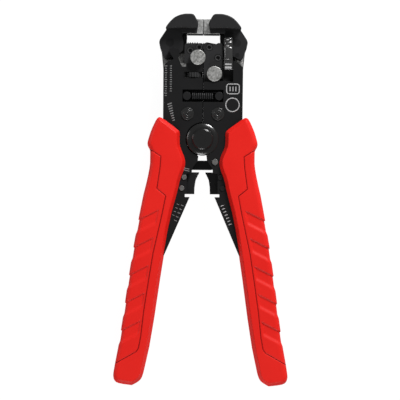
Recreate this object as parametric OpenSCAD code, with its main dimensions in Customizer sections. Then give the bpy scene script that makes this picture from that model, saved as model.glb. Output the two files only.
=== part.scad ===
// Self-adjusting wire stripper and cutter, lying flat on its back.
// The main pivot is the Z axis, the head points along +Y and the handles along -Y.
// z = 0 is the surface that the grips, the beaks and the pivot pin rest on.
// The two halves mirror each other about the plane x = 0, so most outlines are drawn
// once, for the right half, and mirrored for the left.

/* [Overall] */
// Thickness of the grips and of the beaks, the thickest pieces
thickness = 20; // [19:0.5:26]
// Distance from the main pivot to the far end of the handles
handle_reach = 135.9; // [118:0.1:165]
// Width of the head across its side plates
head_width = 44.4; // [43.6:0.1:47]

/* [Layers] */
// Thickness of each side plate
plate_t = 2.4; // [1.6:0.1:3]
// Thickness of the core that holds the side plates apart
core_t = 8.4; // [8.2:0.1:9]
// Thickness of the middle layer: the tongue of the core and what runs beside it
tongue_t = 2.4; // [2.2:0.1:2.6]
// Gap between a fixed layer and one that moves over it
layer_gap = 0.2; // [0.1:0.05:0.25]
// Thickness of the lower jaw blocks
block_t = 9.6; // [9:0.1:10]
// Gap that the seam between the two halves leaves on each side of x = 0
seam_gap = 0.15; // [0.1:0.05:0.3]

/* [Main pivot] */
// Diameter of the pivot pin
pivot_d = 8.8; // [7:0.1:9.4]
// Radial clearance of the pin in the knuckle of the left core
pivot_clearance = 0.05; // [0.02:0.01:0.1]
// Diameter of the bosses of the right plates and of the washers on them
boss_d = 17.6; // [17:0.1:18]
// Diameter of the back head of the pivot pin
pivot_head_d = 12; // [10:0.5:15]

/* [Upper jaws] */
// Sideways distance from the main pivot to each jaw pin
jaw_pin_x = 18.5; // [18.3:0.1:18.8]
// Distance up the head to the jaw pins
jaw_pin_y = 53.4; // [53:0.1:53.8]
// Diameter of the jaw pins
jaw_pin_d = 4.8; // [3:0.1:5.4]
// Radial clearance of the jaw pins in the jaw cheeks
jaw_pin_clearance = 0.05; // [0.02:0.01:0.1]
// Diameter of the cross pin in each jaw tail
tail_pin_d = 2.6; // [2:0.1:2.8]
// Height at which the jaw pads end, above the wire window
pad_y = 58.2; // [58:0.1:58.6]

/* [Lower jaws] */
// Number of teeth on the gripping jaw
tooth_count = 5; // [3:1:8]
// Height of the teeth
tooth_height = 0.75; // [0.3:0.05:1]
// Diameter of the two round guide discs
guide_disc_d = 8.4; // [7:0.1:8.6]
// Diameter of the screw heads in the lower jaws
screw_head_d = 4; // [3:0.1:4.2]

/* [Adjusters] */
// Diameter of the knurled thumbwheel
wheel_d = 9.8; // [8:0.1:9.8]
// Thickness of the thumbwheel
wheel_t = 2.6; // [2:0.1:2.8]
// Number of knurls around the thumbwheel
knurl_count = 20; // [12:1:28]
// Width of the selector slide
slide_w = 4.8; // [4:0.1:5]
// Length that the selector slide can travel
slide_travel = 6; // [2:0.5:6]

/* [Spring] */
// Outer diameter of the return spring's coils
spring_d = 5.2; // [4:0.1:5.4]
// Diameter of the spring wire
spring_wire_d = 0.8; // [0.5:0.05:0.9]
// Number of coils
coil_count = 11; // [8:1:13]

/* [Handles] */
// Diameter of the rivets that the push levers turn on
lever_rivet_d = 4; // [3:0.1:4.4]
// Radial clearance of the lever rivets in the levers
lever_clearance = 0.05; // [0.02:0.01:0.1]
// Diameter of the cutter rivet heads
cutter_rivet_d = 2.8; // [2.2:0.1:3]
// Height of the bevel around the grips
grip_bevel = 1.4; // [0.6:0.1:2]

/* [Hidden] */
$fn = 64;

// Colours
black_steel = [0.15, 0.15, 0.16];
dark_steel = [0.26, 0.26, 0.27];
core_steel = [0.62, 0.62, 0.61];
bright_steel = [0.78, 0.78, 0.76];
grip_red = [0.86, 0.16, 0.14];

// Half heights of the layers, measured from the middle plane
mid_z = thickness / 2;
core_h = core_t / 2;
plate_h = core_h + plate_t;
tongue_h = tongue_t / 2;
cheek_outer_h = core_h - layer_gap;
cheek_inner_h = tongue_h + layer_gap;
mover_h = tongue_h - layer_gap / 2;
channel_h = tongue_h + layer_gap;
block_h = block_t / 2;
brow_h = 6.4;
pad_h = 5;
disc_h = [block_h + 0.3, block_h + 2.6];
blade_h = [0.15, 2.6];

// Places along the head and the handles
half_head = head_width / 2;
lever_at = [8.4, 14];
jaw_at = [jaw_pin_x, jaw_pin_y];
tail_at = [18.8, 46.8];
latch_at = [7, -12.5];
grip_top = 12;
spring_y = 23.9;
spring_h = 3.4;
spring_pin_x = 8.9;
wheel_at = [5.15, 35.7];
cutter_y = [-30.3, -19];
cutter_rivets_at = [[9.95, -21], [11.2, -27]];
gripping_screws_at = [[7.2, 49], [2.3, 50.9]];
stripping_screws_at = [[3.3, 50.9], [8.1, 45.1]];
gripping_disc_at = [3, 45.2];
stripping_disc_at = [6.2, 36.1];
block_bottom = [41.9, 32.3];
window_x = 9.2;

// Radii around the main pivot
boss_r = boss_d / 2;
knuckle_r = boss_r - 0.1;
knuckle_cut_r = boss_r + 0.4;
plate_cut_r = boss_r + 0.6;

// The part of a handle's outline below the wedge stretches with handle_reach
reach_scale = (handle_reach - 30) / (135.9 - 30);
function down(y) = -30 - (y - 30) * reach_scale;

// Side of each plate that the core shares, from the handle's end up to the head
outer_side = [
  [34, down(66)],
  [31, down(40)],
  [26.5, -20],
  [26, -8],
  [24.6, 5],
  [half_head - 0.3, 10.5],
  [half_head - 0.2, 39.6]
];

// Inner side of each plate below the pivot, with the notch under the cutter blades
inner_side = [
  [2, -7],
  [2.6, -12],
  [5, -15.2],
  [5.8, -17],
  [5.8, -18.6],
  [8.5, cutter_y[1]],
  [8.5, cutter_y[0]],
  [9.6, cutter_y[0]],
  [9.6, -31.9],
  [6.9, -31.9],
  [20.8, down(64.3)],
  [22.5, down(66)]
];

right_plate_outline = concat(
  [[seam_gap, 31.8], [seam_gap, 3]],
  inner_side,
  outer_side,
  [[20.1, 41.6], [16.6, 43.6], [16.6, 31.8]]
);

left_plate_outline = concat(
  [[seam_gap, 33.2], [seam_gap, 3]],
  inner_side,
  outer_side,
  [[20.6, 41.8], [16.3, 44.2], [19, 48.4], [18.6, 49.6], [16.6, 50.5], [14.8, 50.2]],
  [[13.1, 48.6], [13.9, 45.3], [12.6, 41.6], [11.3, 39.6], [11.3, 33.2]]
);

// The core runs on inside the grip as a tang
core_inner_side = [
  [9, -3],
  [10.4, -8],
  [10.4, -18],
  [14.6, -19],
  [14.6, -31],
  [16.5, down(38)],
  [23.5, down(66)],
  [31.5, down(112)],
  [38.5, down(112)]
];

right_core_outline = concat(
  [[10.8, 32.3], [seam_gap, 32.3], [seam_gap, 3]],
  core_inner_side,
  outer_side,
  [[20, 41.4], [10.8, 43]]
);

left_core_outline = concat(
  [[seam_gap, block_bottom[0]], [seam_gap, 3]],
  core_inner_side,
  outer_side,
  [[20, 41.4], [12.6, 41.9]]
);

// Tongue of the core that carries the lower jaw block and the jaw pin
tongue_outline = [
  [0.4, 30],
  [0.4, 49],
  [window_x, 49],
  [window_x, 57.3],
  [jaw_pin_x, 57.6],
  [21.5, 56],
  [23.3, 50.5],
  [half_head, 40],
  [21.2, 30]
];

// Room in the middle layer for the push lever and the tail pin
lever_channel = [
  [4.6, 9.6],
  [4.6, 17],
  [12.6, 24.6],
  [14, 42],
  [14.6, 50],
  [22, 50],
  [22, 42],
  [20.8, 22],
  [12.4, 10.4]
];

lever_outline = [
  [11.5, 12.8],
  [18.4, 20.8],
  [18.6, 40],
  [tail_at[0] - tail_pin_d / 2 - 0.1, 45],
  [tail_at[0] - tail_pin_d / 2 - 0.1, 48],
  [15.2, 48],
  [15.2, 40],
  [14.6, 22.6],
  [6.6, 16.9]
];

beak_outline = [
  [20.8, 61.3],
  [19.7, 62.5],
  [17.1, 65.8],
  [14.2, 68.2],
  [10.9, 69],
  [6.1, 69],
  [5, 68],
  [2.8, 64],
  [3.4, 61.2]
];

brow_outline = [
  [3.4, 61.4],
  [3.9, pad_y + 0.3],
  [11.8, pad_y + 0.3],
  [12.4, 61.4]
];

cheek_outline = [
  [9, 66],
  [17, 64],
  [20, 61.3],
  [24.2, 54.9],
  [24.5, 53.4],
  [23.8, 50],
  [21.6, 44.6],
  [19.6, 44],
  [17.5, 45.4],
  [12.5, 47.8],
  [11, 49.5],
  [11, 54],
  [11.8, 57.2],
  [11.4, pad_y + 0.3],
  [9, pad_y + 0.3]
];

pad_outline = [
  [seam_gap, pad_y],
  [seam_gap, 66.4],
  [9, 66.4],
  [9, pad_y]
];

// Teeth are spread evenly between these two places on the gripping jaw
teeth_x = [2.6, 9];
tooth_pitch = (teeth_x[1] - teeth_x[0]) / tooth_count;
tooth_root_y = 53.6 - tooth_height;
gripping_outline = concat(
  [[0.25, block_bottom[0]], [0.25, 52.6], [0.9, 53.1], [teeth_x[0], 53.1]],
  [
    for (i = [0:tooth_count - 1])
      each [
        [teeth_x[0] + (i + 0.15) * tooth_pitch, tooth_root_y],
        [teeth_x[0] + (i + 0.6) * tooth_pitch, tooth_root_y + tooth_height]
      ]
  ],
  [[teeth_x[1], tooth_root_y], [9.8, 52.9], [10.4, 52.2], [10.4, block_bottom[0]]]
);

stripping_outline = [
  [0.25, block_bottom[1]],
  [0.25, 52.9],
  [1.8, 53.6],
  [7.1, 52.7],
  [8.2, 53.3],
  [10, 53.1],
  [10.6, 52.2],
  [10.6, 34.4],
  [8.8, block_bottom[1]]
];

cutter_edge_outline = [
  [2, cutter_y[1]],
  [3.6, -22.5],
  [4.2, -26.5],
  [4.3, cutter_y[0]],
  [9, cutter_y[0]],
  [9, cutter_y[1]]
];

band_outline = [
  [7, -9.9],
  [2.5, -11.7],
  [-2.5, -11.7],
  [-6.2, -12.1],
  [-6.8, -12.8],
  [-6.8, -15.6],
  [-6.2, -16.3],
  [-2.5, -16.9],
  [2.5, -16.9],
  [8, -14.9]
];

// Outline of a grip: outer side down, round the end, inner side up
grip_outline = [
  [22.4, grip_top - 0.4],
  [24, grip_top],
  [25.4, grip_top - 0.8],
  [28.3, 5],
  [30.1, -0.8],
  [30.3, -3.3],
  [29.3, -6.2],
  [28.8, -9],
  [28.8, -14.5],
  [30.3, -22.6],
  [33, down(33.6)],
  [38.8, down(66.6)],
  [44.6, down(110.6)],
  [48.2, down(129.8)],
  [47.6, down(132.2)],
  [45.6, down(133.9)],
  [39.9, down(135.9)],
  [35.4, down(135.1)],
  [32.8, down(132.8)],
  [31.6, down(129.8)],
  [27.5, down(110.6)],
  [21.3, down(66.6)],
  [17.6, down(44.6)],
  [13.2, -28.1],
  [12.1, -22.6],
  [9.6, -16.2],
  [9.1, -12.6],
  [9.8, -9.6],
  [12, -4.6],
  [12.4, -2.6],
  [12.4, 2.2],
  [13.2, 4.6]
];

// Extrude between two heights above the middle plane
module slab(from, to) {
  translate([0, 0, mid_z + from])
    linear_extrude(to - from)
      children();
}

// Extrude symmetrically about the middle plane
module middle(half) {
  slab(-half, half) children();
}

// Extrude the same layer on both sides of the middle plane
module twin(from, to) {
  slab(from, to) children();
  slab(-to, -from) children();
}

// Straight pin along Z between two heights above the middle plane
module pin(at, d, from, to) {
  translate([at[0], at[1], mid_z + from])
    cylinder(d = d, h = to - from);
}

module pins(places, d, from, to) {
  for (at = places)
    pin(at, d, from, to);
}

module left() {
  mirror([1, 0, 0]) children();
}

// Slots in the front of both halves: the spring's, open towards the seam
module spring_slot(floor_h) {
  slab(floor_h, plate_h + 1)
    translate([-1, spring_y - 3.3])
      square([spring_pin_x + 3.4, 6.8]);
}

// Holes that both plates of a half share
module plate_holes() {
  pin(lever_at, lever_rivet_d, -plate_h - 1, plate_h + 1);
  pins(cutter_rivets_at, cutter_rivet_d - 0.8, -plate_h - 1, plate_h + 1);
}

module left_plate(side) {
  color(black_steel)
    left()
      difference() {
        slab(side > 0 ? core_h : -plate_h, side > 0 ? plate_h : -core_h)
          difference() {
            polygon(left_plate_outline);
            circle(plate_cut_r);
          }
        plate_holes();
        if (side > 0) spring_slot(core_h - 1);
      }
}

module right_plate(side) {
  color(black_steel)
    difference() {
      slab(side > 0 ? core_h : -plate_h, side > 0 ? plate_h : -core_h)
        union() {
          polygon(right_plate_outline);
          circle(boss_r);
        }
      plate_holes();
      pin([0, 0], pivot_d, -plate_h - 1, plate_h + 1);
      pin(latch_at, 2, -plate_h - 1, plate_h + 1);
      if (side > 0) spring_slot(core_h - 1);
    }
}

module left_front_plate() { left_plate(1); }
module left_back_plate() { left_plate(-1); }
module right_front_plate() { right_plate(1); }
module right_back_plate() { right_plate(-1); }

// Holes and channels that both cores share
module core_cuts() {
  middle(channel_h) polygon(lever_channel);
  spring_slot(0.4);
  pin([spring_pin_x, spring_y], 3.2, -3, 1);
  pin(lever_at, lever_rivet_d, -core_h - 1, core_h + 1);
  pin(jaw_at, jaw_pin_d, -core_h, core_h);
}

// Sector that the latch band sweeps inside the left core
band_sweep = concat(
  [for (a = [0:6:60]) 19.6 * [sin(a), -cos(a)]],
  [for (a = [60:-6:0]) 9.2 * [sin(a), -cos(a)]]
);

module left_core() {
  color(core_steel)
    left()
      difference() {
        union() {
          middle(core_h)
            difference() {
              polygon(left_core_outline);
              circle(boss_r + 0.3);
            }
          middle(core_h - 0.1)
            union() {
              circle(knuckle_r);
              intersection() {
                polygon(left_core_outline);
                circle(boss_r + 0.7);
              }
            }
          middle(tongue_h) polygon(tongue_outline);
        }
        core_cuts();
        middle(channel_h) polygon(band_sweep);
        pin([0, 0], pivot_d + 2 * pivot_clearance, -core_h - 1, core_h + 1);
        pins(gripping_screws_at, screw_head_d / 2, -core_h, core_h);
        // pocket of the thumbwheel, open at the front and the back
        middle(core_h + 1)
          translate([-1, wheel_at[1] - wheel_t / 2 - 0.3])
            square([wheel_at[0] + wheel_d / 2 + 1.4, wheel_t + 0.6]);
        wheel_stem(0.05);
      }
}

module right_core() {
  color(core_steel)
    difference() {
      union() {
        middle(core_h)
          difference() {
            polygon(right_core_outline);
            circle(knuckle_cut_r);
          }
        middle(tongue_h) polygon(tongue_outline);
      }
      core_cuts();
      pins(stripping_screws_at, screw_head_d / 2, -core_h, core_h);
      // run of the selector slide's foot under the front plate
      slab(2.4, core_h + 1)
        translate([slide_x - slide_w / 2 - 0.3, 38.3 - slide_travel])
          square([slide_w + 1.7, slide_travel + 12]);
    }
}

// A grip is a sleeve moulded over the plates and the core of its half
module grip(plate_outline, core_outline) {
  color(grip_red)
    difference() {
      union() {
        middle(mid_z - grip_bevel) polygon(grip_outline);
        middle(mid_z - grip_bevel / 3) offset(delta = -grip_bevel / 3) polygon(grip_outline);
        middle(mid_z) offset(delta = -grip_bevel) polygon(grip_outline);
      }
      middle(plate_h) polygon(plate_outline);
      middle(core_h) polygon(core_outline);
    }
}

module left_grip() { left() grip(left_plate_outline, left_core_outline); }
module right_grip() { grip(right_plate_outline, right_core_outline); }

// A lower jaw block straddles the tongue of its core
module jaw_block(outline, screws, disc) {
  difference() {
    middle(block_h) polygon(outline);
    middle(tongue_h) polygon(tongue_outline);
    pins(screws, screw_head_d / 2, -core_h, block_h + 1);
    pins(screws, screw_head_d + 0.1, 2.8, block_h + 1);
    pin(disc, 3.2, 1.6, block_h + 1);
  }
}

module gripping_jaw() {
  color(dark_steel)
    left()
      jaw_block(gripping_outline, gripping_screws_at, gripping_disc_at);
}

module stripping_jaw() {
  color(dark_steel)
    jaw_block(stripping_outline, stripping_screws_at, stripping_disc_at);
}

// Socket head screws
module jaw_screws(places) {
  difference() {
    union() {
      pins(places, screw_head_d, 2.8, block_h - 0.2);
      pins(places, screw_head_d / 2, -core_h, 2.8);
    }
    for (at = places)
      translate([at[0], at[1], mid_z + block_h - 1.2])
        cylinder(d = screw_head_d / 2, h = 2, $fn = 6);
  }
}

module gripping_jaw_screws() { color(black_steel) left() jaw_screws(gripping_screws_at); }
module stripping_jaw_screws() { color(black_steel) jaw_screws(stripping_screws_at); }

// Round disc with a stem pressed into its jaw block
module guide_disc(at) {
  color(bright_steel)
    union() {
      pin(at, guide_disc_d, disc_h[0], disc_h[1]);
      pin(at, 3.2, 1.6, disc_h[0]);
    }
}

module gripping_jaw_disc() { left() guide_disc(gripping_disc_at); }
module stripping_jaw_disc() { guide_disc(stripping_disc_at); }

// Spring pin: a neck in the core with a wider head over the spring's loop
module spring_pin() {
  color(dark_steel)
    union() {
      pin([spring_pin_x, spring_y], 3.2, -3, 5.2);
      pin([spring_pin_x, spring_y], 4.6, 5.2, 6.2);
    }
}

module left_spring_pin() { left() spring_pin(); }
module right_spring_pin() { spring_pin(); }

// Stepped rivet through both plates, with a dimple in each head
module lever_rivet() {
  color(black_steel)
    difference() {
      union() {
        pin(lever_at, lever_rivet_d, -plate_h, plate_h);
        twin(plate_h, plate_h + 0.5) translate(lever_at) circle(d = 7);
        twin(plate_h + 0.5, plate_h + 0.9) translate(lever_at) circle(d = 4.4);
      }
      twin(plate_h + 0.3, plate_h + 2) translate(lever_at) circle(d = 1.6);
    }
}

module left_lever_rivet() { left() lever_rivet(); }
module right_lever_rivet() { lever_rivet(); }

module jaw_pin() {
  color(dark_steel) pin(jaw_at, jaw_pin_d, -cheek_outer_h, cheek_outer_h);
}

module left_jaw_pin() { left() jaw_pin(); }
module right_jaw_pin() { jaw_pin(); }

// Cutter blade: a root held between the plates and a thinner cutting edge.
// side is +1 for an edge above the middle plane and -1 for one below it, so the two
// edges pass each other like scissors.
module cutter_blade(side) {
  color(dark_steel)
    difference() {
      union() {
        middle(core_h)
          translate([8.6, cutter_y[0]])
            square([6, cutter_y[1] - cutter_y[0]]);
        slab(side > 0 ? blade_h[0] : -blade_h[1], side > 0 ? blade_h[1] : -blade_h[0])
          polygon(cutter_edge_outline);
      }
      pins(cutter_rivets_at, cutter_rivet_d - 0.8, -core_h - 1, core_h + 1);
    }
}

module left_cutter_blade() { left() cutter_blade(1); }
module right_cutter_blade() { cutter_blade(-1); }

module cutter_rivets() {
  color(bright_steel)
    for (at = cutter_rivets_at) {
      pin(at, cutter_rivet_d - 0.8, -plate_h, plate_h);
      pin(at, cutter_rivet_d, plate_h, plate_h + 0.5);
      pin(at, cutter_rivet_d, -plate_h - 0.5, -plate_h);
    }
}

module left_cutter_rivets() { left() cutter_rivets(); }
module right_cutter_rivets() { cutter_rivets(); }

// Main pivot: pin with a head at the back and a ring groove at the front
ring_h = [plate_h + 1.2, plate_h + 2.1];
pin_top = plate_h + 2.6;

module pivot_pin() {
  color(black_steel)
    difference() {
      union() {
        pin([0, 0], pivot_d, -plate_h - 1.2, pin_top);
        pin([0, 0], pivot_head_d, -mid_z, -plate_h - 1.2);
      }
      translate([0, 0, mid_z + ring_h[0]])
        rotate_extrude()
          translate([pivot_d / 2 - 0.5, 0])
            square([1, ring_h[1] - ring_h[0]]);
    }
}

module washer_ring(from, to, bevel) {
  translate([0, 0, mid_z + from])
    rotate_extrude()
      polygon([
        [pivot_d / 2, 0],
        [boss_r, 0],
        [boss_r, to - from - bevel],
        [boss_r - bevel, to - from],
        [pivot_d / 2, to - from]
      ]);
}

module pivot_front_washer() {
  color(black_steel) washer_ring(plate_h, plate_h + 1.2, 0.8);
}

module pivot_back_washer() {
  color(black_steel) washer_ring(-plate_h - 1.2, -plate_h, 0.05);
}

// Open ring in the pin's groove
module pivot_retaining_ring() {
  color(dark_steel)
    slab(ring_h[0], ring_h[1])
      difference() {
        circle(d = pivot_d + 2.6);
        circle(d = pivot_d - 1);
        translate([0, -pivot_d / 2 - 1])
          square([2.4, 4], center = true);
      }
}

module latch_rivet() {
  color(bright_steel)
    union() {
      pin(latch_at, 2, -plate_h, plate_h);
      pin(latch_at, 3.3, plate_h, plate_h + 0.6);
      pin(latch_at, 3.3, -plate_h - 0.6, -plate_h);
    }
}

module latch_band() {
  color(black_steel)
    difference() {
      middle(mover_h)
        union() {
          polygon(band_outline);
          translate(latch_at) circle(r = 2.6);
        }
      pin(latch_at, 2.1, -core_h, core_h);
    }
}

// Upper jaw: a beak of full thickness over two cheeks that straddle the tongue
module upper_jaw() {
  color(black_steel)
    difference() {
      union() {
        middle(mid_z - 0.8) polygon(beak_outline);
        middle(mid_z) offset(delta = -0.8) polygon(beak_outline);
        twin(cheek_inner_h, brow_h) polygon(brow_outline);
        twin(cheek_inner_h, cheek_outer_h) polygon(cheek_outline);
      }
      middle(pad_h) polygon(pad_outline);
      pin(jaw_at, jaw_pin_d + 2 * jaw_pin_clearance, -core_h, core_h);
      pin(tail_at, tail_pin_d, -core_h, core_h);
    }
}

module left_upper_jaw() { left() upper_jaw(); }
module right_upper_jaw() { upper_jaw(); }

module jaw_pad() {
  color(core_steel) middle(pad_h) polygon(pad_outline);
}

module left_jaw_pad() { left() jaw_pad(); }
module right_jaw_pad() { jaw_pad(); }

module tail_pin() {
  color(dark_steel) pin(tail_at, tail_pin_d, -cheek_outer_h, cheek_outer_h);
}

module left_tail_pin() { left() tail_pin(); }
module right_tail_pin() { tail_pin(); }

// Push lever in the middle layer, from its rivet up to the tail pin
module push_lever() {
  color(dark_steel)
    difference() {
      middle(mover_h)
        union() {
          polygon(lever_outline);
          translate(lever_at) circle(r = 3.3);
        }
      pin(lever_at, lever_rivet_d + 2 * lever_clearance, -core_h, core_h);
    }
}

module left_push_lever() { left() push_lever(); }
module right_push_lever() { push_lever(); }

// Thumbwheel on an upright stem under the gripping jaw
module wheel_stem(clearance) {
  translate([wheel_at[0], wheel_at[1], mid_z])
    rotate([-90, 0, 0])
      cylinder(d = 3 + 2 * clearance, h = block_bottom[0] - wheel_at[1] - 0.1 + clearance);
}

module tension_thumbwheel() {
  color(black_steel)
    left()
      union() {
        translate([wheel_at[0], wheel_at[1], mid_z])
          rotate([90, 0, 0])
            linear_extrude(wheel_t, center = true)
              difference() {
                circle(d = wheel_d);
                for (i = [0:knurl_count - 1])
                  rotate(i * 360 / knurl_count)
                    translate([wheel_d / 2, 0])
                      square([0.9, 0.7], center = true);
              }
        wheel_stem(0);
      }
}

// Selector slide: body in the slot, a raised thumb piece and a foot under the plate
slide_x = 13.8;

module selector_slide() {
  color(black_steel)
    union() {
      slab(core_h - 0.3, plate_h - 0.2)
        translate([slide_x - slide_w / 2, 38.5])
          square([slide_w, 4.3]);
      slab(core_h + 0.15, plate_h - 0.2)
        translate([slide_x - slide_w / 2, 38.5])
          square([slide_w, 17.8]);
      slab(plate_h - 0.3, plate_h + 0.9)
        translate([slide_x - slide_w / 2, 44])
          square([slide_w, 12.3]);
      slab(2.6, core_h - 0.1)
        translate([slide_x - slide_w / 2 - 0.1, 38.5])
          square([slide_w + 1.3, 4.3]);
    }
}

// Return spring: a coil along X whose ends loop round the necks of the spring pins
function unit(v) = v / norm(v);
function tangents(p) = [
  for (i = [0:len(p) - 1])
    unit(p[min(i + 1, len(p) - 1)] - p[max(i - 1, 0)])
];
function carried(v, t) = unit(v - t * (v * t));
function normals(t, first) = [
  for (
    i = 0, n = carried(first, t[0]);
    i < len(t);
    i = i + 1, n = i < len(t) ? carried(n, t[i]) : n
  ) n
];

wire_r = spring_wire_d / 2;
coil_r = spring_d / 2 - wire_r;
coil_half = 5.9;
loop_r = 1.6 + wire_r + 0.05;
coil_steps = 16;
coil_path = [
  for (i = [0:coil_count * coil_steps])
    let (a = 360 * i / coil_steps)
      [
        -coil_half + 2 * coil_half * i / (coil_count * coil_steps),
        spring_y + coil_r * cos(a),
        mid_z + spring_h + coil_r * sin(a)
      ]
];
// One end loop, drawn for the right end and starting at the coil
loop_path = [
  for (a = [110:-20:-150])
    [
      spring_pin_x + loop_r * cos(a),
      spring_y + loop_r * sin(a),
      mid_z + spring_h
    ]
];
spring_path = concat(
  [for (i = [len(loop_path) - 1:-1:0]) [-loop_path[i][0], loop_path[i][1], loop_path[i][2]]],
  coil_path,
  loop_path
);

module wire(path, r, first, sides = 8) {
  t = tangents(path);
  n = normals(t, first);
  rings = [
    for (i = [0:len(path) - 1], j = [0:sides - 1])
      let (a = 360 * j / sides)
        path[i] + r * (cos(a) * n[i] + sin(a) * cross(t[i], n[i]))
  ];
  last = (len(path) - 1) * sides;
  walls = [
    for (i = [0:len(path) - 2], j = [0:sides - 1])
      let (k = (j + 1) % sides)
        [i * sides + j, (i + 1) * sides + j, (i + 1) * sides + k, i * sides + k]
  ];
  polyhedron(
    points = rings,
    faces = concat(
      walls,
      [[for (j = [0:sides - 1]) j]],
      [[for (j = [sides - 1:-1:0]) last + j]]
    ),
    convexity = 10
  );
}

module return_spring() {
  color(dark_steel) wire(spring_path, wire_r, [0, 0, 1]);
}

left_front_plate();
left_back_plate();
left_core();
left_grip();
gripping_jaw();
gripping_jaw_screws();
gripping_jaw_disc();
left_spring_pin();
left_lever_rivet();
left_jaw_pin();
left_cutter_blade();
left_cutter_rivets();
return_spring();
right_front_plate();
right_back_plate();
right_core();
right_grip();
stripping_jaw();
stripping_jaw_screws();
stripping_jaw_disc();
right_spring_pin();
right_lever_rivet();
right_jaw_pin();
right_cutter_blade();
right_cutter_rivets();
pivot_pin();
pivot_front_washer();
pivot_back_washer();
pivot_retaining_ring();
latch_rivet();
latch_band();
left_upper_jaw();
left_jaw_pad();
left_tail_pin();
right_upper_jaw();
right_jaw_pad();
right_tail_pin();
left_push_lever();
right_push_lever();
tension_thumbwheel();
selector_slide();
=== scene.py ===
"""Self-adjusting wire stripper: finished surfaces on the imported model."""
import math

import bmesh
import bpy
import numpy as np
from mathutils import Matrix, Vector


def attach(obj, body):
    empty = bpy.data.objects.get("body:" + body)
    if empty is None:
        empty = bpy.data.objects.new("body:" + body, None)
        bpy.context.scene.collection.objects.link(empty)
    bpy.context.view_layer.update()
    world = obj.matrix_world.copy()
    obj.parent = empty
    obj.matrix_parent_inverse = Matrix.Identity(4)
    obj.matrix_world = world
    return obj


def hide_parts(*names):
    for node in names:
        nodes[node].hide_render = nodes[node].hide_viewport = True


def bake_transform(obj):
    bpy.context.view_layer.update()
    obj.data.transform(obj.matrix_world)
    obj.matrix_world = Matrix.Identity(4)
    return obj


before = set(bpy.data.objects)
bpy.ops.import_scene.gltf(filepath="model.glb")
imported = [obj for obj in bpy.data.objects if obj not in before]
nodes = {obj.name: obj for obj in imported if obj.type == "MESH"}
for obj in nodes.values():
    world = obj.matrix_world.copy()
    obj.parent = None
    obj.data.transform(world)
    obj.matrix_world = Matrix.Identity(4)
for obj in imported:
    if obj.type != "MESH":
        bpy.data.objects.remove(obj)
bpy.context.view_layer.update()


# ---------------------------------------------------------------- grips
# Each handle ends in a grip of bright red elastomer, moulded over the steel tang.
# A parting groove runs down each face, and five slanted recesses outboard of it give
# the fingers something to hold.

MM = 0.001


class Wire:
    """An output socket of a material. Arithmetic on wires adds Math nodes."""

    def __init__(self, tree, socket):
        self.tree = tree
        self.socket = socket

    def maths(self, operation, first, second):
        inputs = {0: first, 1: second}
        return add_node(self.tree, "ShaderNodeMath", {"operation": operation}, inputs)

    def __add__(self, other):
        return self.maths("ADD", self, other)

    def __radd__(self, other):
        return self.maths("ADD", other, self)

    def __sub__(self, other):
        return self.maths("SUBTRACT", self, other)

    def __rsub__(self, other):
        return self.maths("SUBTRACT", other, self)

    def __mul__(self, other):
        return self.maths("MULTIPLY", self, other)

    def __rmul__(self, other):
        return self.maths("MULTIPLY", other, self)


def add_node(tree, kind, settings, inputs, out=0):
    """Adds a node, sets its settings first, then fills or links its sockets."""
    node = tree.nodes.new(kind)
    for name, value in settings.items():
        setattr(node, name, value)
    for key, value in inputs.items():
        if isinstance(value, Wire):
            tree.links.new(value.socket, node.inputs[key])
        else:
            node.inputs[key].default_value = value
    return Wire(tree, node.outputs[out]) if node.outputs else None


def new_finish(name):
    """An empty material with its tree and its Object coordinates."""
    finish = bpy.data.materials.new(name)
    finish.use_nodes = True
    tree = finish.node_tree
    tree.nodes.clear()
    place = add_node(tree, "ShaderNodeTexCoord", {}, {}, "Object")
    return finish, tree, place


def noise(tree, place, scale, detail=2.0, rough=0.5):
    """Soft random value about 0.5 that changes over 1 / scale metres."""
    inputs = {"Vector": place, "Scale": scale, "Detail": detail, "Roughness": rough}
    return add_node(tree, "ShaderNodeTexNoise", {}, inputs, "Fac")


def between(tree, factor, dark, light):
    """Colour that goes from dark to light as factor goes from 0 to 1."""
    inputs = {0: factor, 6: (*dark, 1), 7: (*light, 1)}
    return add_node(tree, "ShaderNodeMix", {"data_type": "RGBA"}, inputs, 2)


def ramp(tree, value, low, high):
    """A straight rise from 0 where value is low to 1 where it is high."""
    inputs = {0: value, 1: low, 2: high, 3: 0.0, 4: 1.0}
    return add_node(tree, "ShaderNodeMapRange", {}, inputs)


def shade(tree, constants, changing, height=None, depth=0.0):
    """Ends a material: constants sit on the shader, changing values are linked."""
    inputs = dict(constants)
    inputs.update(changing)
    if height is not None:
        bump = {"Height": height, "Distance": depth, "Strength": 1.0}
        inputs["Normal"] = add_node(tree, "ShaderNodeBump", {}, bump)
    surface = add_node(tree, "ShaderNodeBsdfPrincipled", {}, inputs)
    add_node(tree, "ShaderNodeOutputMaterial", {}, {"Surface": surface})


def red_elastomer():
    """Satin red with a spark-eroded grain, a slight mottle in its gloss, and a narrow
    dark red painted shade in the parting groove, where the piece's own groove distance is small."""
    finish, tree, place = new_finish("red_elastomer")
    grain = noise(tree, place, 5200.0, 3.0, 0.6)
    cloud = noise(tree, place, 45.0, 3.0)
    aside = add_node(tree, "ShaderNodeAttribute", {"attribute_name": "groove"}, {}, "Fac")
    far = add_node(tree, "ShaderNodeMath", {"operation": "ABSOLUTE"}, {0: aside})
    land = ramp(tree, far, 0.1, 0.3)
    body = between(tree, cloud, (0.8, 0.012, 0.008), (0.88, 0.018, 0.011))
    # Dark red mixed in at the groove is painted shade.
    mix = {0: land, 6: (0.32, 0.005, 0.005, 1), 7: body}
    colour = add_node(tree, "ShaderNodeMix", {"data_type": "RGBA"}, mix, 2)
    height = 0.1 * grain + land
    constants = {"Specular IOR Level": 0.28}
    changing = {"Base Color": colour, "Roughness": 0.37 + 0.1 * grain + 0.06 * cloud}
    shade(tree, constants, changing, height, 0.0003)
    return finish


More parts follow.
